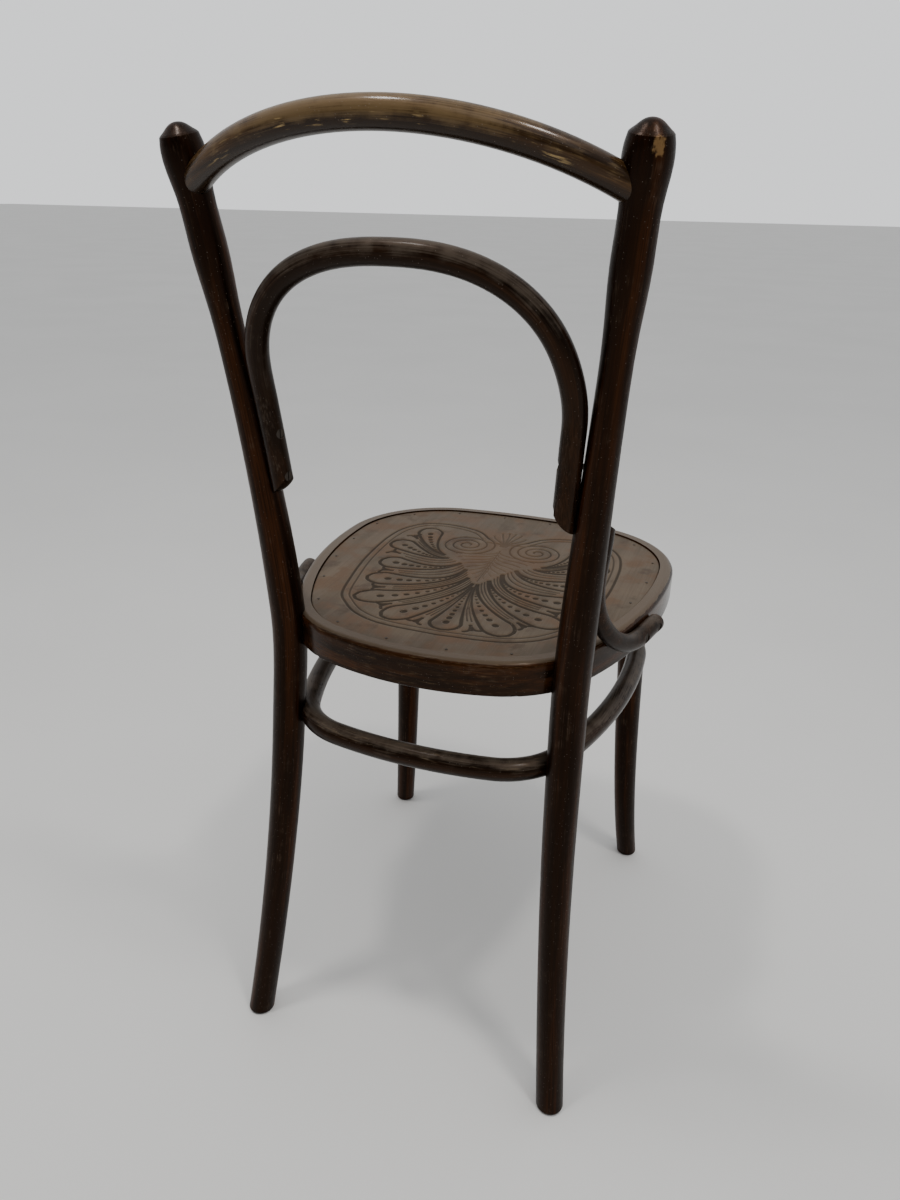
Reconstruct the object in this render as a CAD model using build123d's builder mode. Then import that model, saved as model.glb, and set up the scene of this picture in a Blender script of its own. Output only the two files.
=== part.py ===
from build123d import *
import os
from math import cos, pi, radians, sin, sqrt

# A bentwood bistro chair: two long rear posts, an arched crest rail, an inner bow,
# a bent seat ring with a pressed panel, a closed stretcher ring, two sabre front legs
# and two hip braces. Millimetres, +Z up, the sitter faces -Y, the sitter's left is +X.
# The origin is on the floor under the middle of the chair's width and depth.

# Overall heights and place
seat_height = 463.0
back_height = 872.0
front_reach = 237.5

# Seat ring, seen from above: tangent arcs from the rear to the front
seat_width = 382.0
seat_depth = 404.0
widest_behind_front = 142.5
seat_rear_radius = 274.0
seat_rear_corner_radius = 111.0
seat_side_radius = 438.0
seat_front_corner_radius = 122.0
seat_front_radius = 632.0

# Seat ring section and the pressed panel in its rebate
ring_width = 29.0
ring_height = 33.0
rim_land = 14.0
rim_rounding = 6.0
ring_foot_rounding = 2.0
panel_thickness = 5.0
panel_recess = 1.5
panel_gap = 0.6
panel_edge_rounding = 0.8

# Rear posts: let into the ring's rear corners, leaning out and back above and below it
post_seat_angle = 40.0
post_seat_housing = 7.0
post_foot_spread = 26.0
post_foot_rake = 66.0
post_top_spread = 33.0
post_top_rake = 58.0
post_spread_power_above = 1.25
post_rake_power_above = 1.5
post_spread_power_below = 1.9
post_rake_power_below = 1.35
post_foot_diameter = 27.0
post_seat_diameter = 33.0
post_waist_diameter = 24.5
post_head_diameter = 29.0
post_head_length = 84.0
post_swell_length = 62.0
post_dome_height = 8.5
post_dome_slope = 32.0
post_rim_bevel = 1.2
foot_rounding = 3.0

# Crest rail: one arc between the posts, bulging up and back, with round tenons
rail_diameter = 21.5
rail_below_top = 43.0
rail_rise = 44.0
rail_bulge = 51.5
rail_tenon_diameter = 12.0
rail_tenon_past_axis = 7.0

# Inner bow: its ends lie along the posts' inner sides
bow_diameter = 19.5
bow_end_above_seat = 122.0
bow_spring_above_seat = 212.0
bow_apex_below_top = 82.0
bow_arch_bulge = 39.0
bow_squareness = 2.4
bow_contact_angle = 14.0
bow_flat = 1.2
bow_spring_gap = 1.5

# Stretcher ring: inside all four legs, each leg notched over it
stretcher_height = 354.0
stretcher_diameter = 21.5
stretcher_housing = 6.5
stretcher_rear_angle = 34.0
stretcher_front_angle = 50.0
stretcher_rear_radius = 428.0
stretcher_rear_corner_radius = 71.0
stretcher_side_radius = 515.0
stretcher_front_corner_radius = 84.0
stretcher_front_radius = 607.0

# Front legs: tenoned up into the ring, flared like a sabre at the foot
leg_angle = 46.0
leg_inset = 15.0
leg_top_diameter = 34.0
leg_foot_diameter = 25.0
leg_splay = 15.0
leg_flare_out = 9.0
leg_flare_forward = 17.0
leg_flare_power = 4.0
leg_tenon_diameter = 20.0
leg_tenon_length = 18.0

# Corner blocks: glued inside the ring where the front legs go in
block_thickness = 18.0
block_height = 24.0
block_reach = 42.0

# Hip braces: from the posts' front sides down and forward along the ring's outside
brace_diameter = 17.0
brace_top_above_seat = 130.0
brace_bend_above_seat = 55.0
brace_post_angle = 18.0
brace_below_seat = 13.0
brace_rear_touch = 276.0
brace_front_end = 222.0
brace_flat = 1.5
brace_front_rounding = 6.0

# Ends of the bow and tops of the braces: rounded away from the free side towards the post
tip_rounding = 24.0
tip_margin = 0.5

# Countersunk wood screws
screw_shank = 4.5
screw_head = 9.0
screw_head_land = 0.4
screw_head_depth = 3.0
screw_sink = 1.2
screw_bite = 16.0
screw_point = 5.0
screw_slot_width = 1.1
screw_slot_depth = 1.0
bow_screw_above_end = 18.0
bow_screw_spacing = 38.0
brace_screw_below_top = 26.0
brace_screw_from_end = 14.0
brace_screw_spacing = 28.0

# Round-headed screws and washers that hold the posts to the ring
post_screw_shank = 8.0
post_screw_head = 15.0
post_screw_head_height = 5.0
post_screw_bite = 16.0
washer_diameter = 20.0
washer_thickness = 1.6
washer_seat_depth = 1.2

# Tacks round the panel's edge
tack_count = 20
tack_head = 2.6
tack_head_height = 0.5
tack_shank = 1.4
tack_length = 11.0
tack_inset = 7.0

# Clearances: a glue line between pieces, and room round a screw or tack
glue_gap = 0.1
screw_gap = 0.08

# Levels that follow from the sizes above
ring_bottom = seat_height - ring_height
ring_level = seat_height - ring_height / 2
panel_top = seat_height - panel_recess
ledge_level = panel_top - panel_thickness
head_level = back_height - post_head_length
waist_level = head_level - post_swell_length
dome_level = back_height - post_dome_height
rail_level = back_height - rail_below_top
bow_end = seat_height + bow_end_above_seat
bow_spring = seat_height + bow_spring_above_seat
bow_apex = back_height - bow_apex_below_top
brace_top = seat_height + brace_top_above_seat
brace_bend = seat_height + brace_bend_above_seat
brace_level = seat_height - brace_below_seat
seat_front = -front_reach
seat_rear = seat_front + seat_depth

# Radii of the round pieces
rail_radius = rail_diameter / 2
bow_radius = bow_diameter / 2
stretcher_radius = stretcher_diameter / 2
brace_radius = brace_diameter / 2

# Steady directions for the circles across a bent piece
across = Vector(1, 0, 0)
backward = Vector(0, 1, 0)
upward = Vector(0, 0, 1)


# Plan geometry: outlines of tangent arcs
def direction(angle, side=1):
    """Unit vector in plan, its angle counted from +X towards +Y."""
    return Vector(side * cos(radians(angle)), sin(radians(angle)))


def crossings(first, first_reach, second, second_reach):
    """The two points that lie at given distances from two centres."""
    along = second - first
    span = along.length
    step = (first_reach**2 - second_reach**2 + span**2) / (2 * span)
    height = sqrt(first_reach**2 - step**2)
    middle = first + along / span * step
    aside = Vector(along.Y, -along.X) / span * height
    return middle + aside, middle - aside


def inner_corner(one, two, radius):
    """The (centre, radius) arc that touches two larger arcs from inside, on the +X side."""
    points = crossings(one[0], one[1] - radius, two[0], two[1] - radius)
    return max(points, key=lambda point: point.X), radius


def outer_sweep(one, two, radius):
    """The (centre, radius) arc that touches two smaller arcs and holds them inside, bulging to +X."""
    points = crossings(one[0], radius - one[1], two[0], radius - two[1])
    return min(points, key=lambda point: point.X), radius


def touch_point(one, two, inset):
    """Where two tangent arcs pass into each other, when both are moved in by inset."""
    large, small = (one, two) if one[1] > two[1] else (two, one)
    return large[0] + (small[0] - large[0]).normalized() * (large[1] - inset)


def draw_outline(arcs, inset):
    """Draws a closed outline of tangent arcs, listed from rear to front on the +X side, moved in by inset."""
    joints = [arcs[0][0] + Vector(0, arcs[0][1] - inset)]
    joints += [touch_point(one, two, inset) for one, two in zip(arcs, arcs[1:])]
    joints += [arcs[-1][0] - Vector(0, arcs[-1][1] - inset)]
    for (centre, radius), start, end in zip(arcs, joints, joints[1:]):
        middle = centre + (start + end - centre * 2).normalized() * (radius - inset)
        ThreePointArc(start, middle, end)
    mirror(about=Plane.YZ)


def outline_block(arcs, inset, bottom, height):
    """An outline moved in by inset and raised from a bottom level."""
    with BuildPart() as block:
        with BuildSketch(Plane.XY.offset(bottom)):
            with BuildLine():
                draw_outline(arcs, inset)
            make_face()
        extrude(amount=height)
    return block.part


# Bent pieces: circles across an axis curve, skinned
def blend(knots, place):
    """Value at a place between (place, value) knots, easing in and out of each knot."""
    for (low, low_value), (high, high_value) in zip(knots, knots[1:]):
        if place <= high:
            share = max(0.0, (place - low) / (high - low))
            return low_value + (high_value - low_value) * share * share * (3 - 2 * share)
    return knots[-1][1]


def spread(low, high, count):
    """Evenly spaced values from low up to, and without, high."""
    return [low + (high - low) * step / count for step in range(count)]


def axis_frames(axis, places, diameter):
    """(point, direction, diameter) at places along an axis formula."""
    step = (places[-1] - places[0]) / 2000
    return [(axis(place), axis(place + step) - axis(place - step), diameter(place)) for place in places]


def line_frames(line, count, diameter):
    """(point, direction, diameter) at even steps along a drawn line."""
    return [(line @ (step / count), line % (step / count), diameter) for step in range(count + 1)]


def square_plane(point, along, steady):
    """Plane across a direction, its X kept near the steady direction."""
    normal = along.normalized()
    return Plane(point, x_dir=steady - normal * steady.dot(normal), z_dir=normal)


def bent_rod(frames, steady, grow=0.0):
    """A round bent piece skinned through circles across its axis, grown all round by grow."""
    with BuildPart() as rod:
        for point, along, diameter in frames:
            with BuildSketch(square_plane(point, along, steady)):
                Circle(diameter / 2 + grow)
        loft()
    return rod.part


def rounded_tip(rod, end, along, inward, radius):
    """A bent piece with one end rounded like a ball's side, away from its inward side to the other."""
    end_plane = square_plane(end, along, inward)
    aside = tip_rounding - radius - tip_margin
    seat = Plane(end - end_plane.x_dir * aside, x_dir=end_plane.x_dir, z_dir=along).offset(-tip_rounding)
    reach = tip_rounding + radius
    with BuildPart() as piece:
        add(rod)
        with BuildSketch(profile_plane(seat)):
            with BuildLine():
                Polyline((0, tip_rounding), (0, reach), (reach, reach), (reach, 0), (tip_rounding, 0))
                CenterArc((0, 0), tip_rounding, 0, 90)
            make_face()
        revolve(axis=Axis(seat.origin, seat.z_dir), mode=Mode.SUBTRACT)
    return piece.part


def round_bar(start, along, length, diameter):
    """A straight round bar from a start point along a direction."""
    with BuildPart() as bar:
        with BuildSketch(Plane(start, z_dir=along)):
            Circle(diameter / 2)
        extrude(amount=length)
    return bar.part


def both_sides(piece):
    """A piece and its mirror image across the chair."""
    return [piece, mirror(piece, about=Plane.YZ)]


# Fastener shapes, each down from a seat plane that faces the way its head looks
def profile_plane(seat):
    """Plane through a seat plane's axis: its X is the seat's X, its Y the seat's outward normal."""
    return Plane(seat.origin, x_dir=seat.x_dir, z_dir=-seat.y_dir)


def wood_screw(seat, length, grow=0.0, clear=0.0):
    """A countersunk slotted screw; grown all round and cleared above its head, it is its own hole."""
    head = screw_head / 2 + grow
    shank = screw_shank / 2 + grow
    with BuildPart() as screw:
        with BuildSketch(profile_plane(seat)):
            with BuildLine():
                Polyline(
                    (0, clear),
                    (head, clear),
                    (head, -screw_head_land - grow),
                    (shank, -screw_head_depth - grow),
                    (shank, screw_point - length),
                    (0, -length - grow),
                    close=True,
                )
            make_face()
        revolve(axis=Axis(seat.origin, seat.z_dir))
    return screw.part


def post_screw(seat, grow=0.0):
    """A round-headed screw that stands on its washer; grown all round, it is its own hole."""
    reach = washer_thickness + ring_width - washer_seat_depth + post_screw_bite
    head = post_screw_head / 2
    shank = post_screw_shank / 2 + grow
    crown_radius = (head**2 + post_screw_head_height**2) / (2 * post_screw_head_height)
    with BuildPart() as screw:
        with BuildSketch(profile_plane(seat)):
            with BuildLine():
                Polyline(
                    (0, post_screw_head_height),
                    (0, -reach - grow),
                    (shank, screw_point - reach),
                    (shank, 0),
                    (head, 0),
                )
                RadiusArc((head, 0), (0, post_screw_head_height), -crown_radius)
            make_face()
        revolve(axis=Axis(seat.origin, seat.z_dir))
    return screw.part


def slotted(screw, crown, head):
    """A screw with a driver slot cut into its head from the crown plane."""
    with BuildPart() as piece:
        add(screw)
        with BuildSketch(crown):
            Rectangle(head * 2, screw_slot_width)
        extrude(amount=-screw_slot_depth, mode=Mode.SUBTRACT)
    return piece.part


# Seat outline as (centre, radius) arcs
rear_arc = (Vector(0, seat_rear - seat_rear_radius), seat_rear_radius)
side_arc = (Vector(seat_width / 2 - seat_side_radius, seat_front + widest_behind_front), seat_side_radius)
front_arc = (Vector(0, seat_front + seat_front_radius), seat_front_radius)
rear_corner = inner_corner(rear_arc, side_arc, seat_rear_corner_radius)
front_corner = inner_corner(side_arc, front_arc, seat_front_corner_radius)
seat_arcs = [rear_arc, rear_corner, side_arc, front_corner, front_arc]

# Rear post axis, on the left side
post_out = direction(post_seat_angle)
post_seat = rear_corner[0] + post_out * (rear_corner[1] + post_seat_diameter / 2 - post_seat_housing)


def post_axis(height):
    """Upright at the seat, bending out and back above and below it."""
    if height >= ring_level:
        share = (height - ring_level) / (back_height - ring_level)
        out = post_top_spread * share**post_spread_power_above
        back = post_top_rake * share**post_rake_power_above
    else:
        share = (ring_level - height) / ring_level
        out = post_foot_spread * share**post_spread_power_below
        back = post_foot_rake * share**post_rake_power_below
    return post_seat + Vector(out, back, height)


def post_diameter(height):
    """Thick at the seat, drawn in to a waist, and swelling to the head."""
    knots = [
        (0, post_foot_diameter),
        (ring_level, post_seat_diameter),
        (waist_level, post_waist_diameter),
        (head_level, post_head_diameter),
    ]
    return blend(knots, height)


# Front leg axis, on the left side
leg_out = direction(-leg_angle)
leg_top = front_corner[0] + leg_out * (front_corner[1] - leg_inset)


def leg_axis(height):
    """A straight splay with a flare towards the foot."""
    share = (ring_bottom - height) / ring_bottom
    flare = max(0.0, share) ** leg_flare_power
    out = leg_splay * share + leg_flare_out * flare
    forward = leg_splay * share + leg_flare_forward * flare
    return leg_top + Vector(out, -forward, height)


def leg_diameter(height):
    """A plain taper from the ring to the foot."""
    return leg_foot_diameter + (leg_top_diameter - leg_foot_diameter) * height / ring_bottom


# Stretcher outline, worked out from the four legs that it touches
rear_touch = direction(stretcher_rear_angle)
front_touch = direction(-stretcher_front_angle)
post_reach = post_diameter(stretcher_height) / 2 + stretcher_radius - stretcher_housing
leg_reach = leg_diameter(stretcher_height) / 2 + stretcher_radius - stretcher_housing
stretcher_at_post = post_axis(stretcher_height) - rear_touch * post_reach
stretcher_at_leg = leg_axis(stretcher_height) - front_touch * leg_reach
rear_bend = (stretcher_at_post - rear_touch * stretcher_rear_corner_radius, stretcher_rear_corner_radius)
front_bend = (stretcher_at_leg - front_touch * stretcher_front_corner_radius, stretcher_front_corner_radius)
side_sweep = outer_sweep(rear_bend, front_bend, stretcher_side_radius)
rear_run = sqrt((stretcher_rear_radius - rear_bend[1]) ** 2 - rear_bend[0].X ** 2)
front_run = sqrt((stretcher_front_radius - front_bend[1]) ** 2 - front_bend[0].X ** 2)
rear_sweep = (Vector(0, rear_bend[0].Y - rear_run, stretcher_height), stretcher_rear_radius)
front_sweep = (Vector(0, front_bend[0].Y + front_run, stretcher_height), stretcher_front_radius)
stretcher_arcs = [rear_sweep, rear_bend, side_sweep, front_bend, front_sweep]


def stretcher_tube(grow=0.0):
    """The closed stretcher ring, grown all round by grow."""
    with BuildPart() as tube:
        with BuildLine() as path:
            draw_outline(stretcher_arcs, 0)
        with BuildSketch(Plane(path.wire() @ 0, z_dir=path.wire() % 0)):
            Circle(stretcher_radius + grow)
        sweep(path=path.wire())
    return tube.part


# Inner bow axis: up the post's inner side, then half of a squarish arch
bow_inward = direction(bow_contact_angle, side=-1)


def bow_on_post(height):
    """Along the left post, pressed on at the end and drawing clear of the post towards the spring."""
    share = (height - bow_end) / (bow_spring - bow_end)
    gap = (bow_flat + bow_spring_gap) * share - bow_flat
    return post_axis(height) + bow_inward * (post_diameter(height) / 2 + bow_radius + gap)


def bow_axis(place):
    """From -2 at the right end, over the apex at 0, to 2 at the left end."""
    side = 1 if place >= 0 else -1
    along = abs(place)
    spring = bow_on_post(bow_spring)
    if along > 1:
        point = bow_on_post(bow_spring + (bow_end - bow_spring) * (along - 1))
    else:
        arch_height = bow_apex - bow_spring
        turn = (1 - along) * pi / 2
        width_term = abs(cos(turn) / spring.X) ** bow_squareness
        height_term = abs(sin(turn) / arch_height) ** bow_squareness
        reach = (width_term + height_term) ** (-1 / bow_squareness)
        rise = reach * sin(turn)
        point = Vector(reach * cos(turn), spring.Y + bow_arch_bulge * rise / arch_height, bow_spring + rise)
    return Vector(side * point.X, point.Y, point.Z)


# Crest rail axis: the arc's ends meet the post axes
rail_end = post_axis(rail_level)
rail_apex = Vector(0, rail_end.Y + rail_bulge, rail_level + rail_rise)
with BuildLine() as rail_line:
    ThreePointArc(rail_end, rail_apex, Vector(-rail_end.X, rail_end.Y, rail_level))
rail_inward = rail_line.line % 0
rail_tenon_root = post_diameter(rail_level) / 2 + rail_radius

# Hip brace axis: down the left post's front side, round a bend, and forward along the ring
brace_outward = direction(brace_post_angle - 90)
brace_screw_height = brace_top - brace_screw_below_top
brace_screw_places = [brace_front_end + brace_screw_from_end]
brace_screw_places += [brace_screw_places[0] + brace_screw_spacing]


def brace_on_post(height):
    """Along the left post's front side."""
    return post_axis(height) + brace_outward * (post_diameter(height) / 2 + brace_radius - brace_flat)


def ring_normal(behind_front):
    """Outward direction of the ring's side at a distance behind the seat's front."""
    rise = (seat_front + behind_front - side_arc[0].Y) / side_arc[1]
    return Vector(sqrt(1 - rise**2), rise)


def brace_on_ring(behind_front):
    """Along the ring's side."""
    reach = side_arc[1] + brace_radius - brace_flat
    return side_arc[0] + ring_normal(behind_front) * reach + Vector(0, 0, brace_level)


with BuildLine() as brace_line:
    Spline(
        brace_on_post(brace_top),
        brace_on_post(brace_screw_height),
        brace_on_post(brace_bend),
        brace_on_ring(brace_rear_touch),
        brace_on_ring((brace_rear_touch + brace_front_end) / 2),
        brace_on_ring(brace_front_end),
    )

# Screw seats on the left side
washer_seat = Plane(
    rear_corner[0] + post_out * (rear_corner[1] - ring_width + washer_seat_depth) + upward * ring_level,
    x_dir=upward,
    z_dir=-post_out,
)
post_screw_seat = washer_seat.offset(washer_thickness)
bow_screw_heights = [bow_end + bow_screw_above_end, bow_end + bow_screw_above_end + bow_screw_spacing]
bow_seats = [
    Plane(bow_on_post(height) + bow_inward * (bow_radius - screw_sink), x_dir=upward, z_dir=bow_inward)
    for height in bow_screw_heights
]
brace_post_seats = [
    Plane(
        brace_on_post(brace_screw_height) + brace_outward * (brace_radius - screw_sink),
        x_dir=upward,
        z_dir=brace_outward,
    )
]
brace_ring_seats = [
    Plane(
        brace_on_ring(place) + ring_normal(place) * (brace_radius - screw_sink),
        x_dir=upward,
        z_dir=ring_normal(place),
    )
    for place in brace_screw_places
]
rear_stretcher_seats = [
    Plane(
        stretcher_at_post - rear_touch * (stretcher_radius - screw_sink),
        x_dir=upward,
        z_dir=-rear_touch,
    )
]
front_stretcher_seats = [
    Plane(
        stretcher_at_leg - front_touch * (stretcher_radius - screw_sink),
        x_dir=upward,
        z_dir=-front_touch,
    )
]


def screw_holes(seats, through):
    """The holes of wood screws that pass through a rod of that diameter and bite into the next piece."""
    return [wood_screw(seat, through + screw_bite, screw_gap, through) for seat in seats]


bow_holes = screw_holes(bow_seats, bow_diameter)
brace_post_holes = screw_holes(brace_post_seats, brace_diameter)
brace_ring_holes = screw_holes(brace_ring_seats, brace_diameter)
rear_stretcher_holes = screw_holes(rear_stretcher_seats, stretcher_diameter)
front_stretcher_holes = screw_holes(front_stretcher_seats, stretcher_diameter)
post_screw_hole = post_screw(post_screw_seat, screw_gap)

# Envelopes that cut a neighbour's seat, one glue line larger than the piece itself
floor_overlap = post_foot_diameter
post_places = [-floor_overlap, *spread(0, ring_level, 6), *spread(ring_level, waist_level, 7)]
post_places += [*spread(waist_level, head_level, 3), *spread(head_level, dome_level, 2), dome_level]
post_frames = axis_frames(post_axis, post_places, post_diameter)
post_envelope = bent_rod(post_frames, across, glue_gap)
ring_envelope = outline_block(seat_arcs, -glue_gap, ring_bottom - glue_gap, ring_height + 2 * glue_gap)
stretcher_envelope = stretcher_tube(glue_gap)
rail_tenon_length = rail_tenon_root + rail_tenon_past_axis
rail_tenon_start = rail_end + rail_inward * rail_tenon_root
rail_tenon_hole = round_bar(
    rail_tenon_start,
    -rail_inward,
    rail_tenon_length + glue_gap,
    rail_tenon_diameter + 2 * glue_gap,
)

# Rear posts: skinned rod, domed top, flat foot, housings and holes
post_top = square_plane(*post_frames[-1][:2], across)
with BuildPart() as rear_post_left:
    add(bent_rod(post_frames, across))
    with BuildSketch(profile_plane(post_top)):
        with BuildLine():
            rim = post_head_diameter / 2
            Polyline((0, post_dome_height), (0, 0), (rim, 0), (rim - post_rim_bevel, post_rim_bevel))
            Spline(
                (rim - post_rim_bevel, post_rim_bevel),
                (0, post_dome_height),
                tangents=[direction(post_dome_slope, side=-1), direction(0, side=-1)],
            )
        make_face()
    revolve(axis=Axis(post_top.origin, post_top.z_dir))
    split(bisect_by=Plane.XY, keep=Keep.TOP)
    fillet(rear_post_left.faces().sort_by(Axis.Z)[0].edges(), foot_rounding)
    for cutter in [ring_envelope, stretcher_envelope, rail_tenon_hole, post_screw_hole]:
        add(cutter, mode=Mode.SUBTRACT)
    for cutter in bow_holes + brace_post_holes + rear_stretcher_holes:
        add(cutter, mode=Mode.SUBTRACT)
with BuildPart() as rear_post_right:
    mirror(rear_post_left.part, about=Plane.YZ)

# Front legs: skinned rod cut flat at both ends, with a tenon on top
leg_places = [-floor_overlap, *spread(0, ring_bottom, 8), ring_bottom, ring_bottom + floor_overlap]
with BuildPart() as front_leg_left:
    add(bent_rod(axis_frames(leg_axis, leg_places, leg_diameter), across))
    split(bisect_by=Plane.XY, keep=Keep.TOP)
    split(bisect_by=Plane.XY.offset(ring_bottom), keep=Keep.BOTTOM)
    fillet(front_leg_left.faces().sort_by(Axis.Z)[0].edges(), foot_rounding)
    with BuildSketch(Plane.XY.offset(ring_bottom)):
        with Locations(leg_top):
            Circle(leg_tenon_diameter / 2)
    extrude(amount=leg_tenon_length)
    for cutter in [stretcher_envelope] + front_stretcher_holes:
        add(cutter, mode=Mode.SUBTRACT)
with BuildPart() as front_leg_right:
    mirror(front_leg_left.part, about=Plane.YZ)

# Crest rail: an arc, coped to the posts, with a round tenon at each end
with BuildPart() as crest_rail:
    add(rail_line.line)
    with BuildSketch(Plane(rail_end, z_dir=rail_inward)):
        Circle(rail_radius)
    sweep()
    for cutter in both_sides(post_envelope):
        add(cutter, mode=Mode.SUBTRACT)
    for tenon in both_sides(round_bar(rail_tenon_start, -rail_inward, rail_tenon_length, rail_tenon_diameter)):
        add(tenon)

# Inner bow: a bent rod with rounded ends, flattened where it lies on the posts
bow_places = [*spread(-2, 2, 24), 2]
bow_frames = axis_frames(bow_axis, bow_places, lambda place: bow_diameter)
bow_rod = bent_rod(bow_frames, backward)
for side, along in [(1, bow_frames[-1][1]), (-1, -bow_frames[0][1])]:
    inward = direction(bow_contact_angle, side=-side)
    bow_rod = rounded_tip(bow_rod, bow_axis(2 * side), along, inward, bow_radius)
with BuildPart() as back_bow:
    add(bow_rod)
    for piece in [post_envelope] + bow_holes:
        for cutter in both_sides(piece):
            add(cutter, mode=Mode.SUBTRACT)

# Tack places, round the panel's edge
with BuildLine() as tack_line:
    draw_outline(seat_arcs, rim_land + panel_gap + tack_inset)
tack_points = [tack_line.wire() @ ((step + 0.5) / tack_count) for step in range(tack_count)]

# Seat ring: bent to its outline, rounded on top, rebated for the panel
with BuildPart() as seat_ring:
    with BuildSketch(Plane.XY.offset(ring_bottom)):
        with BuildLine():
            draw_outline(seat_arcs, 0)
        make_face()
        with BuildLine():
            draw_outline(seat_arcs, ring_width)
        make_face(mode=Mode.SUBTRACT)
    extrude(amount=ring_height)
    fillet(seat_ring.faces().sort_by(Axis.Z)[-1].outer_wire().edges(), rim_rounding)
    fillet(seat_ring.faces().sort_by(Axis.Z)[0].outer_wire().edges(), ring_foot_rounding)
    add(outline_block(seat_arcs, rim_land, ledge_level, ring_height), mode=Mode.SUBTRACT)
    with BuildSketch(Plane.XY.offset(ring_bottom)):
        with Locations(leg_top, Vector(-leg_top.X, leg_top.Y)):
            Circle(leg_tenon_diameter / 2 + glue_gap)
    extrude(amount=leg_tenon_length + glue_gap, mode=Mode.SUBTRACT)
    with BuildSketch(Plane.XY.offset(ledge_level)):
        with Locations(*tack_points):
            Rectangle(tack_shank + 2 * screw_gap, tack_shank + 2 * screw_gap)
    extrude(amount=panel_thickness - tack_length - screw_gap, mode=Mode.SUBTRACT)
    washer_recess = round_bar(
        washer_seat.origin,
        -post_out,
        washer_diameter,
        washer_diameter + 2 * screw_gap,
    )
    for piece in [post_screw_hole, washer_recess] + brace_ring_holes:
        for cutter in both_sides(piece):
            add(cutter, mode=Mode.SUBTRACT)

# Pressed seat panel, tacked down into the rebate
with BuildPart() as seat_panel:
    add(outline_block(seat_arcs, rim_land + panel_gap, ledge_level, panel_thickness))
    fillet(seat_panel.faces().sort_by(Axis.Z)[-1].edges(), panel_edge_rounding)
    with BuildSketch(Plane.XY.offset(panel_top)):
        with Locations(*tack_points):
            Rectangle(tack_shank + 2 * screw_gap, tack_shank + 2 * screw_gap)
    extrude(amount=-panel_thickness, mode=Mode.SUBTRACT)

# Corner blocks inside the ring at the front legs
with BuildPart() as corner_block_left:
    with BuildSketch(Plane.XY.offset(ring_bottom)):
        with BuildLine():
            draw_outline(seat_arcs, ring_width + glue_gap)
        make_face()
        with BuildLine():
            draw_outline(seat_arcs, ring_width + block_thickness)
        make_face(mode=Mode.SUBTRACT)
        with Locations(leg_top):
            Circle(block_reach, mode=Mode.INTERSECT)
    extrude(amount=block_height)
with BuildPart() as corner_block_right:
    mirror(corner_block_left.part, about=Plane.YZ)

# Stretcher ring
with BuildPart() as stretcher_ring:
    add(stretcher_tube())
    for piece in rear_stretcher_holes + front_stretcher_holes:
        for cutter in both_sides(piece):
            add(cutter, mode=Mode.SUBTRACT)

# Hip braces: bent rods with rounded ends, cut to the post and the ring
brace_rod = bent_rod(line_frames(brace_line.line, 14, brace_diameter), across)
brace_up = -(brace_line.line % 0)
with BuildPart() as brace_left:
    add(rounded_tip(brace_rod, brace_line.line @ 0, brace_up, brace_outward, brace_radius))
    fillet(brace_left.faces().filter_by(GeomType.PLANE).sort_by(Axis.Y)[0].edges(), brace_front_rounding)
    for cutter in [post_envelope, ring_envelope] + brace_post_holes + brace_ring_holes:
        add(cutter, mode=Mode.SUBTRACT)
with BuildPart() as brace_right:
    mirror(brace_left.part, about=Plane.YZ)


# Screws, washers and tacks, each group on both sides
def screw_group(seats, through):
    """Slotted wood screws at the seats and at their mirror images."""
    with BuildPart() as group:
        for seat in seats:
            screw = slotted(wood_screw(seat, through + screw_bite), seat, screw_head)
            for piece in both_sides(screw):
                add(piece)
    return group


bow_screws = screw_group(bow_seats, bow_diameter)
brace_post_screws = screw_group(brace_post_seats, brace_diameter)
brace_ring_screws = screw_group(brace_ring_seats, brace_diameter)
rear_stretcher_screws = screw_group(rear_stretcher_seats, stretcher_diameter)
front_stretcher_screws = screw_group(front_stretcher_seats, stretcher_diameter)
post_crown = post_screw_seat.offset(post_screw_head_height)
with BuildPart() as post_screws:
    for piece in both_sides(slotted(post_screw(post_screw_seat), post_crown, post_screw_head)):
        add(piece)
with BuildPart() as post_washers:
    with BuildSketch(washer_seat):
        Circle(washer_diameter / 2)
        Circle(post_screw_shank / 2 + screw_gap, mode=Mode.SUBTRACT)
    extrude(amount=washer_thickness)
    mirror(about=Plane.YZ)
with BuildPart() as panel_tacks:
    with BuildSketch(Plane.XY.offset(panel_top)):
        with Locations(*tack_points):
            Rectangle(tack_shank, tack_shank)
    extrude(amount=-tack_length)
    with BuildSketch(Plane.XY.offset(panel_top)):
        with Locations(*tack_points):
            Circle(tack_head / 2)
    extrude(amount=tack_head_height)

# Hand over every piece
pieces = {
    "rear_post_left": rear_post_left,
    "rear_post_right": rear_post_right,
    "crest_rail": crest_rail,
    "back_bow": back_bow,
    "seat_ring": seat_ring,
    "seat_panel": seat_panel,
    "corner_block_left": corner_block_left,
    "corner_block_right": corner_block_right,
    "front_leg_left": front_leg_left,
    "front_leg_right": front_leg_right,
    "stretcher_ring": stretcher_ring,
    "brace_left": brace_left,
    "brace_right": brace_right,
    "post_screws": post_screws,
    "post_washers": post_washers,
    "bow_screws": bow_screws,
    "brace_post_screws": brace_post_screws,
    "brace_ring_screws": brace_ring_screws,
    "rear_stretcher_screws": rear_stretcher_screws,
    "front_stretcher_screws": front_stretcher_screws,
    "panel_tacks": panel_tacks,
}
os.makedirs("parts", exist_ok=True)
for name, piece in pieces.items():
    piece.part.label = name
    export_step(piece.part, f"parts/{name}.step")
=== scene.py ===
from math import atan2, cos, pi, radians, sin, sqrt

import bpy
from mathutils import Euler, Matrix, Vector, kdtree


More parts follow.
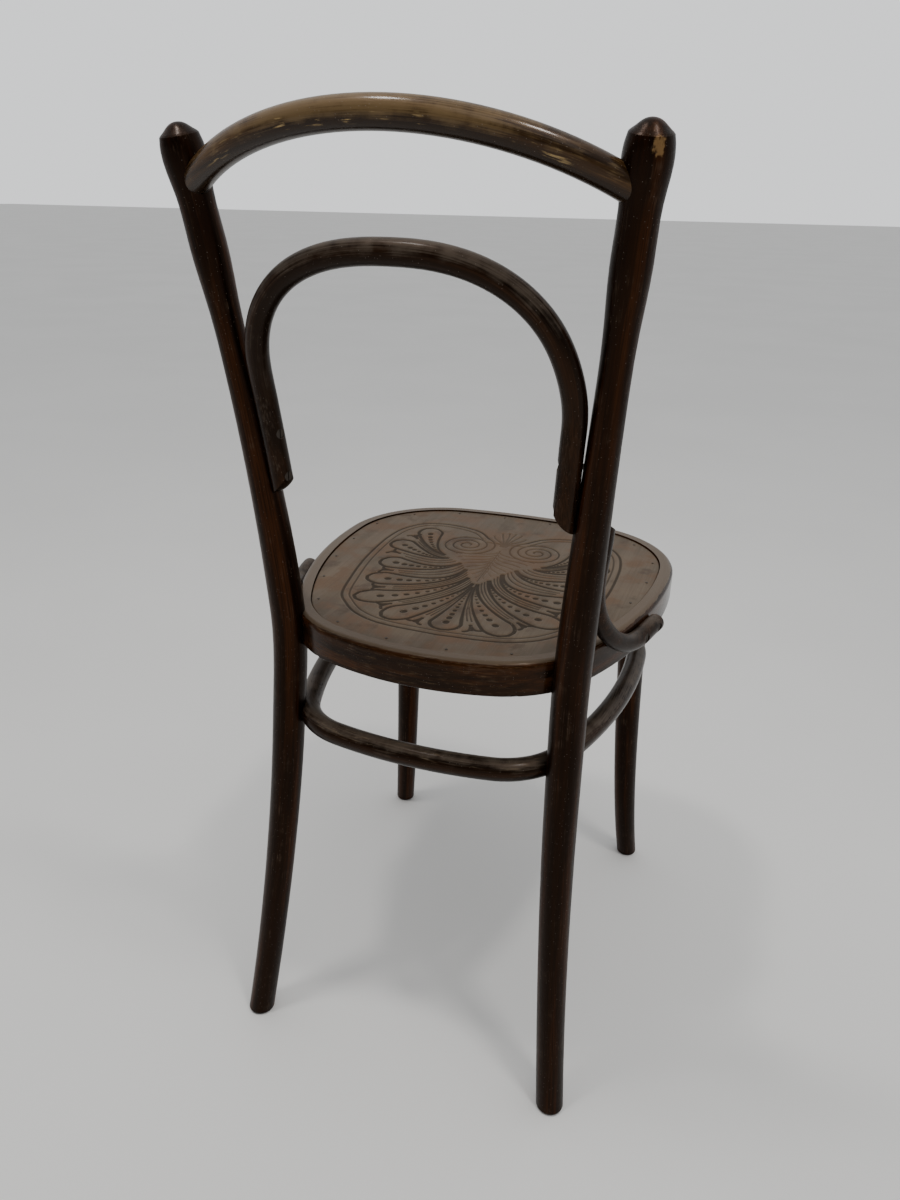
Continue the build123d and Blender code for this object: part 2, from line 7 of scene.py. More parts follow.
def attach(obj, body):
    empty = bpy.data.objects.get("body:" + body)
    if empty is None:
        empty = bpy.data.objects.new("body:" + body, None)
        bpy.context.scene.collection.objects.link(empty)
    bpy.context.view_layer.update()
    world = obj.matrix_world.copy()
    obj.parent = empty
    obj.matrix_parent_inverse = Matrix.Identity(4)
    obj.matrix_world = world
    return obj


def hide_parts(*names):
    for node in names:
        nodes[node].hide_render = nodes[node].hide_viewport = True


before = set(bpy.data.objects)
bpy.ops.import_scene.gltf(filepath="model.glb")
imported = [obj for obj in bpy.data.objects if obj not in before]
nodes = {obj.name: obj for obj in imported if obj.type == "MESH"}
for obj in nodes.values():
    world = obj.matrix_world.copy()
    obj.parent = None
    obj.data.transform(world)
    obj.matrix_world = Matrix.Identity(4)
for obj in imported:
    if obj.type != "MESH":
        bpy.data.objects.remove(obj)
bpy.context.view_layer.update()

# Sizes repeated from the part's source, in metres
MM = 0.001
BACK_TOP = 0.872
RING_LEVEL = 0.4465
RING_BOTTOM = 0.430
PANEL_TOP = 0.4615
PANEL_BOTTOM = 0.4565
SEAT_MIDDLE_Y = -0.0355
RING_HALF_WIDTH, RING_HALF_DEPTH = 0.191, 0.202
RING_WIDTH = 0.029
BLOCK_HALF_WIDTH, BLOCK_HALF_DEPTH = RING_HALF_WIDTH - RING_WIDTH, RING_HALF_DEPTH - RING_WIDTH
BOW_SPRING = 0.675
BOW_HALF_WIDTH, BOW_RISE, BOW_SQUARENESS = 0.1303, 0.115, 2.4

# How far the posts and legs lean away from the seat, and the power that the lean grows with
POST_SPREAD_ABOVE, POST_SPREAD_BELOW = (0.033, 1.25), (0.026, 1.9)
POST_RAKE_ABOVE, POST_RAKE_BELOW = (0.058, 1.5), (0.066, 1.35)
LEG_SPLAY = 0.015
LEG_FLARE_OUT, LEG_FLARE_FORWARD, LEG_FLARE_POWER = 0.009, 0.017, 4.0

# The rough run of the other bent pieces, close enough for their grain and wear
RING_SQUARENESS = 3.0
STRETCHER_MIDDLE_Y = -0.02
STRETCHER_HALF_WIDTH, STRETCHER_HALF_DEPTH = 0.1641, 0.1804
BOW_LEAN = 0.34
RAIL_END = 0.16
RAIL_BACK, RAIL_UP = 0.775, 0.632
RAIL_BEND = 2.0

# The ways that worn surfaces look, and where painted sheen and painted shade fall
UP = (0, 0, 1)
BEHIND_AND_UP = (0, 0.6, 0.8)
RIM_BEHIND = (0, 0.8, 0.6)
BEHIND_AND_DOWN = (0, 0.97, -0.24)

# Tones of stained wood: dark, body, warm, worn thin and bare
FRAME_TONES = [
    (0.0024, 0.0009, 0.0004),
    (0.0078, 0.0026, 0.0008),
    (0.044, 0.0125, 0.0027),
    (0.09, 0.06, 0.04),
    (0.30, 0.175, 0.072),
]
RAIL_TONES = [
    (0.013, 0.0062, 0.0024),
    (0.050, 0.0245, 0.0085),
    (0.110, 0.054, 0.0165),
    (0.172, 0.112, 0.052),
    (0.46, 0.32, 0.14),
]
RING_TONES = [
    (0.0045, 0.0019, 0.0007),
    (0.0135, 0.0052, 0.0017),
    (0.058, 0.0190, 0.0042),
    (0.112, 0.082, 0.055),
    (0.21, 0.135, 0.066),
]
# The rods' worn thin tone is greyish: it is worn stain and a painted sheen together
ROD_TONES = [
    (0.0032, 0.0017, 0.0009),
    (0.0105, 0.0054, 0.0027),
    (0.030, 0.0115, 0.0040),
    (0.090, 0.070, 0.053),
    (0.17, 0.125, 0.082),
]
# Painted shade: the near-black tone laid on surfaces that look downwards
UNDERSIDE_SHADE = (0.003, 0.002, 0.0012)
DUST = (0.34, 0.29, 0.25)
VARNISH_TINT = (1.0, 0.52, 0.28)

# Tones of the pressed panel
PANEL_DARK = (0.086, 0.064, 0.044)
PANEL_BODY = (0.116, 0.089, 0.063)
PANEL_PALE = (0.152, 0.114, 0.079)
PANEL_FLUSH = (0.118, 0.068, 0.039)
PANEL_STAIN = (0.055, 0.034, 0.022)
PANEL_FIBRE = (0.075, 0.050, 0.034)
# Painted highlight on the grooves' sloping walls
PANEL_GROOVE_HIGHLIGHT = (0.20, 0.155, 0.112)
PANEL_GROOVE_DARK = (0.022, 0.017, 0.0125)
PANEL_LEAF = (0.110, 0.062, 0.034)
PANEL_DUST = (0.36, 0.29, 0.23)
PANEL_TINT = (1.0, 0.86, 0.72)

# Tones of the hidden blocks, the fixings and the floor
BLOCK_DARK, BLOCK_PALE, BLOCK_SAWN = (0.20, 0.12, 0.066), (0.34, 0.225, 0.135), (0.1, 0.06, 0.035)
SCREW_STEEL, SCREW_RUST = (0.055, 0.043, 0.033), (0.030, 0.021, 0.015)
TACK_STEEL, TACK_RUST = (0.075, 0.057, 0.042), (0.038, 0.025, 0.017)
FLOOR_DARK, FLOOR_PALE = (0.90, 0.89, 0.87), (0.93, 0.92, 0.90)


# Materials: scales are in waves a metre, edges are the values between which a pattern fades in
class Shader:
    """The nodes of one material or world, built up socket by socket."""

    def __init__(self, owner, surface="Principled BSDF"):
        owner.use_nodes = True
        self.owner = owner
        self.tree = owner.node_tree
        self.surface = self.tree.nodes[surface]

    def feed(self, socket, value):
        """Links an output to a socket, or sets the socket's own value or opaque colour."""
        if isinstance(value, bpy.types.NodeSocket):
            self.tree.links.new(value, socket)
        elif socket.type == "RGBA":
            socket.default_value = (*value, 1.0)
        else:
            socket.default_value = value

    def dress(self, values):
        """Feeds the surface's own sockets."""
        for key, value in values.items():
            self.feed(self.surface.inputs[key], value)

    def node(self, kind, inputs, **settings):
        """A node with its settings and inputs."""
        made = self.tree.nodes.new(kind)
        for key, value in settings.items():
            setattr(made, key, value)
        for key, value in inputs.items():
            self.feed(made.inputs[key], value)
        return made

    def math(self, operation, *values):
        """One step of arithmetic."""
        return self.node("ShaderNodeMath", dict(enumerate(values)), operation=operation).outputs[0]

    def add(self, one, two):
        return self.math("ADD", one, two)

    def minus(self, one, two):
        return self.math("SUBTRACT", one, two)

    def times(self, one, two):
        return self.math("MULTIPLY", one, two)

    def power(self, one, two):
        return self.math("POWER", one, two)

    def absolute(self, value):
        return self.math("ABSOLUTE", value)

    def not_negative(self, value):
        return self.math("MAXIMUM", value, 0.0)

    def grown(self, share, reach, power):
        """A reach that grows with a power of a share."""
        return self.times(self.power(share, power), reach)

    def swing(self, pattern, strength):
        """A pattern made to swing round zero."""
        return self.times(self.add(pattern, -0.5), strength)

    def ramp(self, value, low, high, start=0.0, end=1.0):
        """Eases from start to end while the value goes from low to high."""
        inputs = {"Value": value, "From Min": low, "From Max": high, "To Min": start, "To Max": end}
        return self.node("ShaderNodeMapRange", inputs, interpolation_type="SMOOTHSTEP").outputs[0]

    def mix(self, share, first, second):
        """Blends two colours."""
        return self.node("ShaderNodeMix", {0: share, 6: first, 7: second}, data_type="RGBA").outputs[2]

    def layer(self, colour, tone, pattern, low, high, most=1.0):
        """Lays a tone over a colour where a pattern goes from low to high, up to the most."""
        return self.mix(self.ramp(pattern, low, high, 0.0, most), colour, tone)

    def position(self, kind="Object"):
        """X, Y and Z of a point in the chair's frame, or of a direction in the surroundings."""
        place = self.node("ShaderNodeTexCoord", {}).outputs[kind]
        return self.node("ShaderNodeSeparateXYZ", {0: place}).outputs

    def scaled(self, scale):
        """X, Y and Z in waves of a pattern."""
        return [self.times(part, scale) for part in self.position()]

    def apart(self, place, reaches):
        """The square of the distance from a place, with 1 at the given reach along each axis."""
        total = 0.0
        for here, there, reach in zip(self.position(), place, reaches):
            share = self.times(self.add(here, -there), 1 / reach)
            total = self.add(total, self.times(share, share))
        return total

    def facing(self, way):
        """1 where the surface looks the given way, down to -1 where it looks the other way."""
        normal = self.node("ShaderNodeNewGeometry", {}).outputs["Normal"]
        product = self.node("ShaderNodeVectorMath", {0: normal, 1: way}, operation="DOT_PRODUCT")
        return product.outputs["Value"]

    def vector(self, x, y, z):
        """One vector from its three parts."""
        return self.node("ShaderNodeCombineXYZ", {0: x, 1: y, 2: z}).outputs[0]

    def noise(self, x, y, z, w=0.0, detail=3.0, roughness=0.55):
        """Smooth noise at a four-part place."""
        inputs = {"Vector": self.vector(x, y, z), "W": w}
        inputs |= {"Scale": 1.0, "Detail": detail, "Roughness": roughness}
        return self.node("ShaderNodeTexNoise", inputs, noise_dimensions="4D").outputs[0]

    def streaks(self, grain, across, along, **settings):
        """Noise drawn out along the grain."""
        first, second, run, side_run = grain
        place = [self.times(first, across), self.times(second, across)]
        place += [self.times(run, along), self.times(side_run, along)]
        return self.noise(*place, **settings)

    def blotches(self, scale, **settings):
        """Noise of one size in every direction."""
        return self.noise(*self.scaled(scale), **settings)

    def specks(self, scale, radius):
        """1 inside small dots, scattered over somewhat less than half of a pattern's cells."""
        inputs = {"Vector": self.vector(*self.scaled(scale)), "Scale": 1.0, "Randomness": 1.0}
        cells = self.node("ShaderNodeTexVoronoi", inputs)
        core = radius * 0.6
        near = self.ramp(cells.outputs["Distance"], radius, core)
        lot = self.node("ShaderNodeSeparateColor", {0: cells.outputs["Color"]}).outputs[0]
        chosen = self.ramp(lot, 0.55, 0.6)
        return self.times(near, chosen)

    def bump(self, height, strength, depth):
        """A fine relief on the surface."""
        inputs = {"Height": height, "Strength": strength, "Distance": depth}
        self.dress({"Normal": self.node("ShaderNodeBump", inputs).outputs[0]})


# Grain places: two across the grain and two along it, in metres.
# The side shift gives the left and the right piece a grain of their own.
SIDE_SHIFT = 0.3


def post_grain(shader):
    """Follows the rear posts' lean above and below the seat."""
    x, y, z = shader.position()
    rise = shader.add(z, -RING_LEVEL)
    above = shader.not_negative(shader.times(rise, 1 / (BACK_TOP - RING_LEVEL)))
    below = shader.not_negative(shader.times(rise, -1 / RING_LEVEL))
    out = shader.add(shader.grown(above, *POST_SPREAD_ABOVE), shader.grown(below, *POST_SPREAD_BELOW))
    back = shader.add(shader.grown(above, *POST_RAKE_ABOVE), shader.grown(below, *POST_RAKE_BELOW))
    return shader.minus(shader.absolute(x), out), shader.minus(y, back), z, shader.times(x, SIDE_SHIFT)


def leg_grain(shader):
    """Follows the front legs' splay and flare."""
    x, y, z = shader.position()
    share = shader.not_negative(shader.times(shader.add(z, -RING_BOTTOM), -1 / RING_BOTTOM))
    splay = shader.times(share, LEG_SPLAY)
    out = shader.add(splay, shader.grown(share, LEG_FLARE_OUT, LEG_FLARE_POWER))
    forward = shader.add(splay, shader.grown(share, LEG_FLARE_FORWARD, LEG_FLARE_POWER))
    return shader.minus(shader.absolute(x), out), shader.add(y, forward), z, shader.times(x, SIDE_SHIFT)


def hoop_reach(shader, aside, ahead, half_width, half_depth, squareness):
    """The half width of the hoop that goes through a point, the same all along a bent fibre."""
    across = shader.power(shader.times(aside, 1 / half_width), squareness)
    deep = shader.power(shader.times(ahead, 1 / half_depth), squareness)
    return shader.times(shader.power(shader.add(across, deep), 1 / squareness), half_width)


def hoop_grain(half_width, half_depth, middle):
    """Runs round a flat bent ring."""

    def place(shader):
        x, y, z = shader.position()
        ahead = shader.absolute(shader.add(y, -middle))
        reach = hoop_reach(shader, shader.absolute(x), ahead, half_width, half_depth, RING_SQUARENESS)
        return reach, z, x, y

    return place


def bow_grain(shader):
    """Runs up and over the inner bow."""
    x, y, z = shader.position()
    raised = shader.not_negative(shader.add(z, -BOW_SPRING))
    reach = hoop_reach(shader, shader.absolute(x), raised, BOW_HALF_WIDTH, BOW_RISE, BOW_SQUARENESS)
    return reach, shader.minus(y, shader.times(z, BOW_LEAN)), x, z


def rail_grain(shader):
    """Runs along the crest rail's arc, in its tilted plane."""
    x, y, z = shader.position()
    reach = shader.add(shader.times(y, RAIL_BACK), shader.times(z, RAIL_UP))
    drop = shader.times(shader.times(x, x), RAIL_BEND)
    level = shader.minus(shader.times(z, RAIL_BACK), shader.times(y, RAIL_UP))
    return shader.add(reach, drop), level, x, 0.0


def brace_grain(shader):
    """Runs down and forward along the hip braces."""
    x, y, z = shader.position()
    return shader.absolute(x), shader.add(y, z), shader.minus(y, z), shader.times(x, SIDE_SHIFT)


def panel_grain(shader):
    """Runs from front to rear over the panel."""
    x, y, z = shader.position()
    return x, z, y, 0.0


# Wear places: 1 where the stain is rubbed through, 0 where it is whole
def worn_nowhere(shader):
    """Whole all over."""
    return 0.0


def wear_and_sheen_towards(way, low, high, most):
    """Rubbed where the surface looks one way; on the bow, brace and stretcher the lighter tone there is
    also a painted sheen.
    """

    def place(shader):
        return shader.ramp(shader.facing(way), low, high, 0.0, most)

    return place


def worn_rail(shader):
    """Rubbed along the top of the crest rail, less towards its ends."""
    worn_middle, least = 0.03, 0.2
    middle = shader.ramp(shader.absolute(shader.position()[0]), RAIL_END, worn_middle, least, 1.0)
    return shader.times(wear_and_sheen_towards(BEHIND_AND_UP, low=-0.1, high=0.75, most=0.7)(shader), middle)


# Scuff places: the share of bare wood that shows
CHIP_PLACE = (-0.1785, 0.196, 0.8555)
CHIP_REACHES = (0.0038, 0.012, 0.0058)
POST_RIM, POST_RIM_FOOT = 0.8630, 0.8618
RAIL_SCUFFS_FULL = 0.11
SCUFF_START = 0.54


def chipped_head(shader, grain):
    """Chipped under the rim of the right post, on the side that looks away from the sitter."""
    ragged = shader.swing(shader.blotches(scale=380, detail=4.0), strength=3.6)
    drawn = shader.swing(shader.streaks(grain, across=600, along=90), strength=3.0)
    reach = shader.add(shader.add(shader.apart(CHIP_PLACE, CHIP_REACHES), ragged), drawn)
    chip = shader.ramp(reach, 1.3, 0.3, 0.0, 0.65)
    return shader.times(chip, shader.ramp(shader.position()[2], POST_RIM, POST_RIM_FOOT))


def scuffed(way, low, high, share, soft):
    """Short scuffs along the grain where the surface looks one way."""

    def place(shader, grain):
        fine = shader.streaks(grain, across=600, along=60, detail=4.0)
        dashes = shader.ramp(fine, SCUFF_START, SCUFF_START + soft)
        ragged = shader.times(shader.blotches(scale=30), 0.1)
        zone = shader.ramp(shader.add(shader.facing(way), ragged), low, high)
        return shader.times(shader.times(dashes, zone), share)

    return place


def scuffed_rail(shader, grain):
    """Thin scuffs along the middle of the rail's rear side."""
    middle = shader.ramp(shader.absolute(shader.position()[0]), RAIL_END, RAIL_SCUFFS_FULL)
    patches = shader.ramp(shader.blotches(scale=45, w=5.0), 0.45, 0.58)
    scuffs = scuffed(BEHIND_AND_DOWN, low=0.9, high=1.02, share=0.85, soft=0.1)(shader, grain)
    return shader.times(scuffs, shader.times(middle, patches))


def fibre_height(shader, fibre, pores, share):
    """Height of fibres, by their share, and of the wood between open pores."""
    closed = shader.ramp(pores, 0.3, 0.42)
    return shader.add(shader.times(fibre, share), shader.times(closed, 1 - share))


def aged_wood(name, grain_place, tones, wear_and_sheen_place, rough, coat, scuff_place=None):
    """Stained, varnished and worn bent beech, darkened underneath as painted shade: tones are dark, body,
    warm, worn thin and bare.
    """
    shader = Shader(bpy.data.materials.new(name))
    dark, body, warm, thin, bare = tones
    grain = grain_place(shader)
    bands = shader.streaks(grain, across=170, along=5)
    flames = shader.streaks(grain, across=80, along=4)
    fibre = shader.streaks(grain, across=900, along=18, detail=4.0)
    pores = shader.streaks(grain, across=1500, along=70, detail=1.0)
    clouds = shader.blotches(scale=14)
    patches = shader.blotches(scale=60, detail=5.0)
    specks = shader.specks(scale=430, radius=0.14)
    warm_share, speck_share = 0.85, 0.4

    colour = shader.layer(dark, body, bands, 0.36, 0.66)
    glow = shader.times(shader.ramp(flames, 0.44, 0.62), shader.ramp(fibre, 0.36, 0.6, 0.35, 1.0))
    colour = shader.mix(shader.times(glow, warm_share), colour, warm)
    # On the rods the worn tone is also a painted sheen over their tops
    rubbed = shader.add(wear_and_sheen_place(shader), shader.swing(patches, strength=1.4))
    rubbed = shader.add(rubbed, shader.swing(fibre, strength=1.3))
    worn = shader.ramp(rubbed, 0.1, 0.8, 0.0, 0.9)
    colour = shader.mix(worn, colour, thin)
    # Painted shade: surfaces that look downwards are darkened towards near-black
    colour = shader.layer(colour, UNDERSIDE_SHADE, shader.facing(UP), -0.1, -0.75, most=0.85)
    if scuff_place:
        colour = shader.mix(scuff_place(shader, grain), colour, bare)
    colour = shader.mix(shader.times(specks, speck_share), colour, DUST)

    uneven = shader.add(shader.swing(clouds, strength=0.22), shader.swing(fibre, strength=0.16))
    duller = shader.times(worn, 0.12)
    shader.dress(
        {
            "Base Color": colour,
            "Roughness": shader.add(shader.add(uneven, duller), rough),
            "Specular IOR Level": 0.12,
            "Specular Tint": VARNISH_TINT,
            "Coat Weight": coat,
            "Coat Roughness": 0.17,
        }
    )
    shader.bump(fibre_height(shader, fibre, pores, share=0.6), strength=0.3, depth=0.0004)
    return shader.owner


def pressed_panel_wood():
    """Grey-brown pressed plywood: darker in the grooves, with a painted highlight on their walls, redder
    at the leaf.
    """
    shader = Shader(bpy.data.materials.new("panel_wood_look"))
    grain = panel_grain(shader)
    bands = shader.streaks(grain, across=60, along=4)
    fibre = shader.streaks(grain, across=800, along=14, detail=4.0)
    pores = shader.streaks(grain, across=1300, along=45, detail=1.0)
    clouds = shader.blotches(scale=11, detail=5.0)
    flushes = shader.blotches(scale=28, w=3.0, detail=5.0)
    stains = shader.blotches(scale=38, detail=4.0)
    specks = shader.specks(scale=300, radius=0.14)
    groove = shader.node("ShaderNodeAttribute", {}, attribute_name="groove").outputs["Fac"]
    groove_edge = shader.times(groove, shader.minus(1.0, groove))
    leaf_place, leaf_reaches = (-0.004, -0.085), (0.055, 0.060)
    edge_share, speck_share = 0.9, 0.25

    colour = shader.layer(PANEL_DARK, PANEL_BODY, bands, 0.35, 0.65)
    colour = shader.layer(colour, PANEL_PALE, clouds, 0.45, 0.7, most=0.7)
    colour = shader.layer(colour, PANEL_FLUSH, flushes, 0.46, 0.62, most=0.8)
    colour = shader.layer(colour, PANEL_STAIN, stains, 0.53, 0.68, most=0.65)
    colour = shader.layer(colour, PANEL_FIBRE, fibre, 0.44, 0.68, most=0.35)
    # Painted highlight: the grooves' walls are lightened
    colour = shader.mix(shader.times(groove_edge, edge_share), colour, PANEL_GROOVE_HIGHLIGHT)
    # Darker in the grooves
    colour = shader.layer(colour, PANEL_GROOVE_DARK, groove, 0.2, 1.0, most=0.82)
    colour = shader.layer(colour, PANEL_LEAF, shader.apart(leaf_place, leaf_reaches), 1.3, 0.2, most=0.45)
    colour = shader.mix(shader.times(specks, speck_share), colour, PANEL_DUST)

    smoothest = 0.36
    uneven = shader.add(shader.times(clouds, 0.25), shader.times(groove, 0.2))
    shader.dress(
        {
            "Base Color": colour,
            "Roughness": shader.add(uneven, smoothest),
            "Specular IOR Level": 0.13,
            "Specular Tint": PANEL_TINT,
        }
    )
    shader.bump(fibre_height(shader, fibre, pores, share=0.5), strength=0.3, depth=0.0003)
    return shader.owner


def dull_steel(name, steel, rust):
    """Old steel with brown spots, stained over with the wood round it."""
    shader = Shader(bpy.data.materials.new(name))
    spots = shader.blotches(scale=420, detail=5.0)
    scratches = shader.blotches(scale=1600, detail=2.0)
    spot_edge = (0.45, 0.62)
    shader.dress(
        {
            "Base Color": shader.layer(steel, rust, spots, *spot_edge),
            "Metallic": shader.ramp(spots, *spot_edge, start=0.7, end=0.25),
            "Roughness": shader.ramp(scratches, 0.3, 0.7, start=0.38, end=0.65),
        }
    )
    shader.bump(scratches, strength=0.2, depth=0.0002)
    return shader.owner


def bare_block_wood():
    """Unvarnished beech with saw marks."""
    shader = Shader(bpy.data.materials.new("block_wood_look"))
    grain = hoop_grain(BLOCK_HALF_WIDTH, BLOCK_HALF_DEPTH, SEAT_MIDDLE_Y)(shader)
    fibre = shader.streaks(grain, across=900, along=20, detail=4.0)
    saw_marks = shader.blotches(scale=260, detail=2.0)
    colour = shader.layer(BLOCK_DARK, BLOCK_PALE, fibre, 0.35, 0.65)
    colour = shader.layer(colour, BLOCK_SAWN, saw_marks, 0.5, 0.7, most=0.4)
    shader.dress({"Base Color": colour, "Roughness": shader.ramp(fibre, 0.3, 0.7, start=0.6, end=0.8)})
    shader.bump(fibre, strength=0.5, depth=0.0004)
    return shader.owner


post_look = aged_wood(
    "post_wood_look",
    post_grain,
    FRAME_TONES,
    worn_nowhere,
    rough=0.31,
    coat=0.05,
    scuff_place=chipped_head,
)
leg_look = aged_wood("leg_wood_look", leg_grain, FRAME_TONES, worn_nowhere, rough=0.34, coat=0.03)
# The bow's lighter top is worn stain and a painted sheen
bow_look = aged_wood(
    "bow_wood_look",
    bow_grain,
    ROD_TONES,
    wear_and_sheen_towards(BEHIND_AND_UP, low=0.25, high=1.0, most=0.6),
    rough=0.29,
    coat=0.1,
)
rail_look = aged_wood(
    "rail_wood_look",
    rail_grain,
    RAIL_TONES,
    worn_rail,
    rough=0.26,
    coat=0.4,
    scuff_place=scuffed_rail,
)
# The braces' lighter tops are worn stain and a painted sheen
brace_look = aged_wood(
    "brace_wood_look",
    brace_grain,
    ROD_TONES,
    wear_and_sheen_towards(UP, low=0.3, high=0.95, most=0.4),
    rough=0.32,
    coat=0.06,
)
ring_look = aged_wood(
    "ring_wood_look",
    hoop_grain(RING_HALF_WIDTH, RING_HALF_DEPTH, SEAT_MIDDLE_Y),
    RING_TONES,
    wear_and_sheen_towards(UP, low=0.55, high=0.95, most=0.95),
    rough=0.22,
    coat=0.14,
    scuff_place=scuffed(RIM_BEHIND, low=0.7, high=0.95, share=0.8, soft=0.3),
)
# The stretcher's lighter top is worn stain and a painted sheen
stretcher_look = aged_wood(
    "stretcher_wood_look",
    hoop_grain(STRETCHER_HALF_WIDTH, STRETCHER_HALF_DEPTH, STRETCHER_MIDDLE_Y),
    ROD_TONES,
    wear_and_sheen_towards(UP, low=0.15, high=0.95, most=0.6),
    rough=0.28,
    coat=0.12,
    scuff_place=scuffed(BEHIND_AND_UP, low=0.8, high=1.0, share=0.5, soft=0.15),
)
panel_look = pressed_panel_wood()
block_look = bare_block_wood()
screw_look = dull_steel("screw_steel_look", SCREW_STEEL, SCREW_RUST)
tack_look = dull_steel("tack_steel_look", TACK_STEEL, TACK_RUST)

looks = {
    "rear_post_left": post_look,
    "rear_post_right": post_look,
    "crest_rail": rail_look,
    "back_bow": bow_look,
    "seat_ring": ring_look,
    "seat_panel": panel_look,
    "corner_block_left": block_look,
    "corner_block_right": block_look,
    "front_leg_left": leg_look,
    "front_leg_right": leg_look,
    "stretcher_ring": stretcher_look,
    "brace_left": brace_look,
    "brace_right": brace_look,
    "post_screws": screw_look,
    "post_washers": screw_look,
    "bow_screws": screw_look,
    "brace_post_screws": screw_look,
    "brace_ring_screws": screw_look,
    "rear_stretcher_screws": screw_look,
    "front_stretcher_screws": screw_look,
    "panel_tacks": tack_look,
}
for name, look in looks.items():
    for slot in nodes[name].material_slots:
        slot.material = look


# Seat outline in millimetres: the same tangent arcs as in the part's source
def inner_corner(one, two, radius):
    """The (centre, radius) arc that touches two larger arcs from inside, on the +X side."""
    (first, first_radius), (second, second_radius) = one, two
    near, far = first_radius - radius, second_radius - radius
    along = second - first
    step = (near**2 - far**2 + along.length**2) / (2 * along.length)
    aside = Vector((along.y, -along.x)).normalized() * sqrt(near**2 - step**2)
    middle = first + along.normalized() * step
    return max(middle + aside, middle - aside, key=lambda point: point.x), radius


REAR_ARC = (Vector((0, -107.5)), 274.0)
SIDE_ARC = (Vector((-247.0, -95.0)), 438.0)
FRONT_ARC = (Vector((0, 394.5)), 632.0)
REAR_CORNER_ARC = inner_corner(REAR_ARC, SIDE_ARC, radius=111.0)
FRONT_CORNER_ARC = inner_corner(SIDE_ARC, FRONT_ARC, radius=122.0)
SEAT_ARCS = [REAR_ARC, REAR_CORNER_ARC, SIDE_ARC, FRONT_CORNER_ARC, FRONT_ARC]


def outline(inset, steps=80):
    """Closed outline moved in by inset, from the rear middle round by +X, with steps to an arc."""
    joints = [Vector((0, REAR_ARC[0].y + REAR_ARC[1] - inset))]
    for one, two in zip(SEAT_ARCS, SEAT_ARCS[1:]):
        large, small = (one, two) if one[1] > two[1] else (two, one)
        joints.append(large[0] + (small[0] - large[0]).normalized() * (large[1] - inset))
    joints.append(Vector((0, FRONT_ARC[0].y - FRONT_ARC[1] + inset)))
    half = []
    for (centre, radius), start, end in zip(SEAT_ARCS, joints, joints[1:]):
        first = atan2(start.y - centre.y, start.x - centre.x)
        last = atan2(end.y - centre.y, end.x - centre.x)
        for step in range(steps):
            angle = first + (last - first) * step / steps
            half.append(centre + Vector((cos(angle), sin(angle))) * (radius - inset))
    half.append(joints[-1])
    return half + [Vector((-point.x, point.y)) for point in reversed(half[1:-1])]


def evenly(points, places):
    """Points at shares of a closed line's length."""
    closed = points + points[:1]
    lengths = [0.0]
    for one, two in zip(closed, closed[1:]):
        lengths.append(lengths[-1] + (two - one).length)
    found, index = [], 0
    for share in places:
        goal = share * lengths[-1]
        while lengths[index + 1] < goal:
            index += 1
        part = (goal - lengths[index]) / (lengths[index + 1] - lengths[index])
        found.append(closed[index].lerp(closed[index + 1], part))
    return found


# Pressed ornament: a palmette inside a border whose ends curl into volutes, in millimetres from
# the point where its axis crosses the middle of the chair's depth. It sits a little off the
# chair's middle and is slightly turned. LINE is a broad line's half width, and a groove's wall
# starts outside its line.
AXIS_FOOT = Vector((-4.75, 0))
AXIS_TURN = radians(2.5)
LINE = 2.0
DEPTH = 1.0
WALL_START, WALL_WIDTH = 1.0, 1.8
MARK_STEP = 0.5
LAYERS = ("lines", "ribs", "beads", "sprigs")
strokes = {layer: [] for layer in LAYERS}


def stroke(points, half_widths, depth, layer="lines"):
    """A sunk line on the right half and its mirror image on the left."""
    mirrored = [Vector((-point.x, point.y)) for point in points]
    strokes[layer] += [(points, half_widths, depth), (mirrored, half_widths, depth)]


def even(points, half_width):
    """The same half width for every point of a line."""
    return [half_width] * len(points)


def bezier(start, one, two, end, steps=60):
    """Points along a cubic curve."""
    corners = [Vector(corner) for corner in (start, one, two, end)]
    found = []
    for step in range(steps + 1):
        t = step / steps
        weights = [(1 - t) ** 3, 3 * t * (1 - t) ** 2, 3 * t * t * (1 - t), t**3]
        found.append(sum((corner * weight for corner, weight in zip(corners, weights)), Vector((0, 0))))
    return found


def through(points, steps=14):
    """A smooth line through given points."""
    points = [Vector(point) for point in points]
    padded = [points[0] * 2 - points[1]] + points + [points[-1] * 2 - points[-2]]
    found = []
    for before, start, end, after in zip(padded, padded[1:], padded[2:], padded[3:]):
        found += bezier(start, start + (end - before) / 6, end - (after - start) / 6, end, steps)[:-1]
    return found + [points[-1]]


def beside(points, distances):
    """A line beside another, at a distance to its right for each point."""
    found = []
    for index, (point, distance) in enumerate(zip(points, distances)):
        ahead = points[min(index + 1, len(points) - 1)] - points[max(index - 1, 0)]
        found.append(point + Vector((ahead.y, -ahead.x)).normalized() * distance)
    return found


# Petals from the middle one round to the front: the four corners of the middle line's curve, and
# the largest half width. The tip is round past a share of the length.
PETALS = [
    ((0, 4), (0, 40), (0, 75), (0, 107), 15.0),
    ((2.5, -5), (6, 30), (27, 67), (62.5, 98.5), 15.5),
    ((11.5, -18), (20, 15), (52, 53), (106, 63), 15.0),
    ((20.5, -38.5), (27, 6), (66, 13.5), (112.5, 12.5), 15.0),
    ((31.5, -54), (46, -25), (80, -27), (115.5, -36), 15.0),
    ((49.5, -65), (66, -56), (92, -75), (122.5, -95.5), 14.5),
    ((55.5, -72.5), (74, -84), (88, -108), (97, -150), 14.0),
]
PETAL_ROUND = 0.85
PETAL_ROOT = 0.8
PETAL_SWELL = 1.5
EDGE_LEAST, EDGE_GAP_SHARE = 0.3, 0.11
LAST_EDGE = LINE * 0.8

